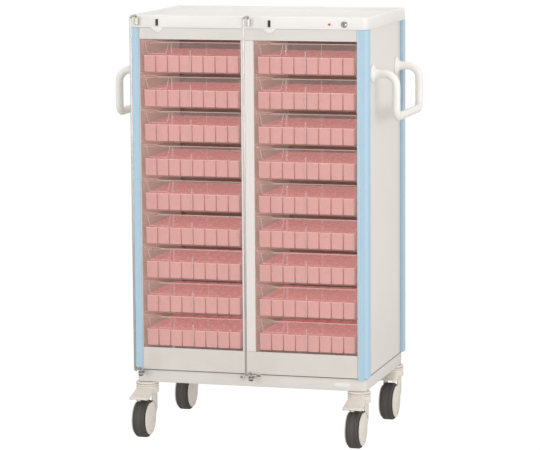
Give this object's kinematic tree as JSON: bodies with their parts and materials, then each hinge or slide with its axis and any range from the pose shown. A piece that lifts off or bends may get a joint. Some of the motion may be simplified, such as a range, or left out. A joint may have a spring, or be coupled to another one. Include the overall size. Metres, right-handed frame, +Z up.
{
  "type": "medication cart",
  "caption": "Upright ward cart with twin columns of clear drawers, swinging lock bars, a shallow top tray, side push handles and swivel casters.",
  "frame": {"origin": "on the floor, below the middle of the cart's bounding box, with the lock bars swung open", "axes": "+Z up, the drawers open towards -Y, +X is the cart's right side seen from the front"},
  "size_m": [0.769, 0.49, 1.1134],
  "materials": {
    "carcass_paint": "satin powder coat, off-white",
    "base_paint": "satin powder coat, off-white",
    "tray_plastic": "fine-grained moulded plastic, off-white",
    "post_plastic": "smooth satin plastic, sky blue",
    "clear_plastic": "clear moulded plastic",
    "cassette_plastic": "pink moulded plastic",
    "stainless_steel": "drawn stainless bar",
    "bright_metal": "polished plating",
    "runner_steel": "painted sheet, light grey",
    "latch_plastic": "moulded plastic, off-white",
    "lamp_lens": "red lens",
    "handle_coating": "soft satin coating, off-white",
    "caster_housing": "moulded housing, warm light grey",
    "tyre_rubber": "dark grey rubber tread"
  },
  "bodies": {
    "cart": {"back_panel": "carcass_paint", "bar_barrel_left": "stainless_steel", "bar_barrel_right": "stainless_steel", "bar_eye_left": "stainless_steel", "bar_eye_right": "stainless_steel", "base": "base_paint", "caster_head_front_left": "caster_housing", "caster_head_front_right": "caster_housing", "caster_head_rear_left": "caster_housing", "caster_head_rear_right": "caster_housing", "centre_mullion": "carcass_paint", "centre_partition": "runner_steel", "corner_post_front_left": "post_plastic", "corner_post_front_right": "post_plastic", "corner_post_rear_left": "post_plastic", "corner_post_rear_right": "post_plastic", "front_bottom_panel": "carcass_paint", "front_top_rail": "carcass_paint", "latch_plate_left": "latch_plastic", "latch_plate_right": "latch_plastic", "lock_ring": "bright_metal", "push_handle_left": "handle_coating", "push_handle_right": "handle_coating", "runner_rack_left": "runner_steel", "runner_rack_right": "runner_steel", "side_panel_left": "carcass_paint", "side_panel_right": "carcass_paint", "status_lamp": "lamp_lens", "top_tray": "tray_plastic"},
    "drawer_left_1": {"drawer_left_1": "clear_plastic"},
    "drawer_left_2": {"drawer_left_2": "clear_plastic"},
    "drawer_left_3": {"drawer_left_3": "clear_plastic"},
    "drawer_left_4": {"drawer_left_4": "clear_plastic"},
    "drawer_left_5": {"drawer_left_5": "clear_plastic"},
    "drawer_left_6": {"drawer_left_6": "clear_plastic"},
    "drawer_left_7": {"drawer_left_7": "clear_plastic"},
    "drawer_left_8": {"drawer_left_8": "clear_plastic"},
    "drawer_left_9": {"drawer_left_9": "clear_plastic"},
    "drawer_right_1": {"drawer_right_1": "clear_plastic"},
    "drawer_right_2": {"drawer_right_2": "clear_plastic"},
    "drawer_right_3": {"drawer_right_3": "clear_plastic"},
    "drawer_right_4": {"drawer_right_4": "clear_plastic"},
    "drawer_right_5": {"drawer_right_5": "clear_plastic"},
    "drawer_right_6": {"drawer_right_6": "clear_plastic"},
    "drawer_right_7": {"drawer_right_7": "clear_plastic"},
    "drawer_right_8": {"drawer_right_8": "clear_plastic"},
    "drawer_right_9": {"drawer_right_9": "clear_plastic"},
    "lock_bar_left": {"lock_bar_left": "stainless_steel"},
    "lock_bar_right": {"lock_bar_right": "stainless_steel"},
    "lock_plug": {"lock_plug": "bright_metal"},
    "caster_fork_front_left": {"caster_fork_front_left": "caster_housing"},
    "caster_wheel_front_left": {"caster_wheel_front_left": "tyre_rubber"},
    "brake_pedal_left": {"brake_pedal_left": "caster_housing"},
    "caster_fork_front_right": {"caster_fork_front_right": "caster_housing"},
    "caster_wheel_front_right": {"caster_wheel_front_right": "tyre_rubber"},
    "brake_pedal_right": {"brake_pedal_right": "caster_housing"},
    "caster_fork_rear_left": {"caster_fork_rear_left": "caster_housing"},
    "caster_wheel_rear_left": {"caster_wheel_rear_left": "tyre_rubber"},
    "caster_fork_rear_right": {"caster_fork_rear_right": "caster_housing"},
    "caster_wheel_rear_right": {"caster_wheel_rear_right": "tyre_rubber"}
  },
  "joints": [
    {"name": "drawer_left_1_slide", "type": "slide", "parent": "cart", "child": "drawer_left_1", "axis": [0, -1, 0], "range_m": [0, 0.3]},
    {"name": "drawer_left_2_slide", "type": "slide", "parent": "cart", "child": "drawer_left_2", "axis": [0, -1, 0], "range_m": [0, 0.3]},
    {"name": "drawer_left_3_slide", "type": "slide", "parent": "cart", "child": "drawer_left_3", "axis": [0, -1, 0], "range_m": [0, 0.3]},
    {"name": "drawer_left_4_slide", "type": "slide", "parent": "cart", "child": "drawer_left_4", "axis": [0, -1, 0], "range_m": [0, 0.3]},
    {"name": "drawer_left_5_slide", "type": "slide", "parent": "cart", "child": "drawer_left_5", "axis": [0, -1, 0], "range_m": [0, 0.3]},
    {"name": "drawer_left_6_slide", "type": "slide", "parent": "cart", "child": "drawer_left_6", "axis": [0, -1, 0], "range_m": [0, 0.3]},
    {"name": "drawer_left_7_slide", "type": "slide", "parent": "cart", "child": "drawer_left_7", "axis": [0, -1, 0], "range_m": [0, 0.3]},
    {"name": "drawer_left_8_slide", "type": "slide", "parent": "cart", "child": "drawer_left_8", "axis": [0, -1, 0], "range_m": [0, 0.3]},
    {"name": "drawer_left_9_slide", "type": "slide", "parent": "cart", "child": "drawer_left_9", "axis": [0, -1, 0], "range_m": [0, 0.3]},
    {"name": "drawer_right_1_slide", "type": "slide", "parent": "cart", "child": "drawer_right_1", "axis": [0, -1, 0], "range_m": [0, 0.3]},
    {"name": "drawer_right_2_slide", "type": "slide", "parent": "cart", "child": "drawer_right_2", "axis": [0, -1, 0], "range_m": [0, 0.3]},
    {"name": "drawer_right_3_slide", "type": "slide", "parent": "cart", "child": "drawer_right_3", "axis": [0, -1, 0], "range_m": [0, 0.3]},
    {"name": "drawer_right_4_slide", "type": "slide", "parent": "cart", "child": "drawer_right_4", "axis": [0, -1, 0], "range_m": [0, 0.3]},
    {"name": "drawer_right_5_slide", "type": "slide", "parent": "cart", "child": "drawer_right_5", "axis": [0, -1, 0], "range_m": [0, 0.3]},
    {"name": "drawer_right_6_slide", "type": "slide", "parent": "cart", "child": "drawer_right_6", "axis": [0, -1, 0], "range_m": [0, 0.3]},
    {"name": "drawer_right_7_slide", "type": "slide", "parent": "cart", "child": "drawer_right_7", "axis": [0, -1, 0], "range_m": [0, 0.3]},
    {"name": "drawer_right_8_slide", "type": "slide", "parent": "cart", "child": "drawer_right_8", "axis": [0, -1, 0], "range_m": [0, 0.3]},
    {"name": "drawer_right_9_slide", "type": "slide", "parent": "cart", "child": "drawer_right_9", "axis": [0, -1, 0], "range_m": [0, 0.3]},
    {"name": "lock_bar_left_swing", "type": "hinge", "parent": "cart", "child": "lock_bar_left", "pos_m": [-0.2945, -0.195, 0.186], "axis": [0, 0, -1], "range_deg": [-90, 0]},
    {"name": "lock_bar_right_swing", "type": "hinge", "parent": "cart", "child": "lock_bar_right", "pos_m": [0.007, -0.195, 0.186], "axis": [0, 0, -1], "range_deg": [-90, 0]},
    {"name": "key_turn", "type": "hinge", "parent": "cart", "child": "lock_plug", "pos_m": [0.258, -0.187, 1.0925], "axis": [0, -1, 0], "range_deg": [0, 90]},
    {"name": "swivel_front_left", "type": "hinge", "parent": "cart", "child": "caster_fork_front_left", "pos_m": [-0.288, -0.16, 0.132], "axis": [0, 0, 1], "continuous": true},
    {"name": "roll_front_left", "type": "hinge", "parent": "caster_fork_front_left", "child": "caster_wheel_front_left", "pos_m": [-0.288, -0.195, 0.05], "axis": [1, 0, 0], "continuous": true},
    {"name": "pedal_press_left", "type": "hinge", "parent": "caster_fork_front_left", "child": "brake_pedal_left", "pos_m": [-0.288, -0.1912, 0.1065], "axis": [1, 0, 0], "range_deg": [0, 12]},
    {"name": "swivel_front_right", "type": "hinge", "parent": "cart", "child": "caster_fork_front_right", "pos_m": [0.288, -0.16, 0.132], "axis": [0, 0, 1], "continuous": true},
    {"name": "roll_front_right", "type": "hinge", "parent": "caster_fork_front_right", "child": "caster_wheel_front_right", "pos_m": [0.288, -0.195, 0.05], "axis": [1, 0, 0], "continuous": true},
    {"name": "pedal_press_right", "type": "hinge", "parent": "caster_fork_front_right", "child": "brake_pedal_right", "pos_m": [0.288, -0.1912, 0.1065], "axis": [1, 0, 0], "range_deg": [0, 12]},
    {"name": "swivel_rear_left", "type": "hinge", "parent": "cart", "child": "caster_fork_rear_left", "pos_m": [-0.288, 0.214, 0.132], "axis": [0, 0, 1], "continuous": true},
    {"name": "roll_rear_left", "type": "hinge", "parent": "caster_fork_rear_left", "child": "caster_wheel_rear_left", "pos_m": [-0.288, 0.179, 0.05], "axis": [1, 0, 0], "continuous": true},
    {"name": "swivel_rear_right", "type": "hinge", "parent": "cart", "child": "caster_fork_rear_right", "pos_m": [0.288, 0.214, 0.132], "axis": [0, 0, 1], "continuous": true},
    {"name": "roll_rear_right", "type": "hinge", "parent": "caster_fork_rear_right", "child": "caster_wheel_rear_right", "pos_m": [0.288, 0.179, 0.05], "axis": [1, 0, 0], "continuous": true}
  ]
}
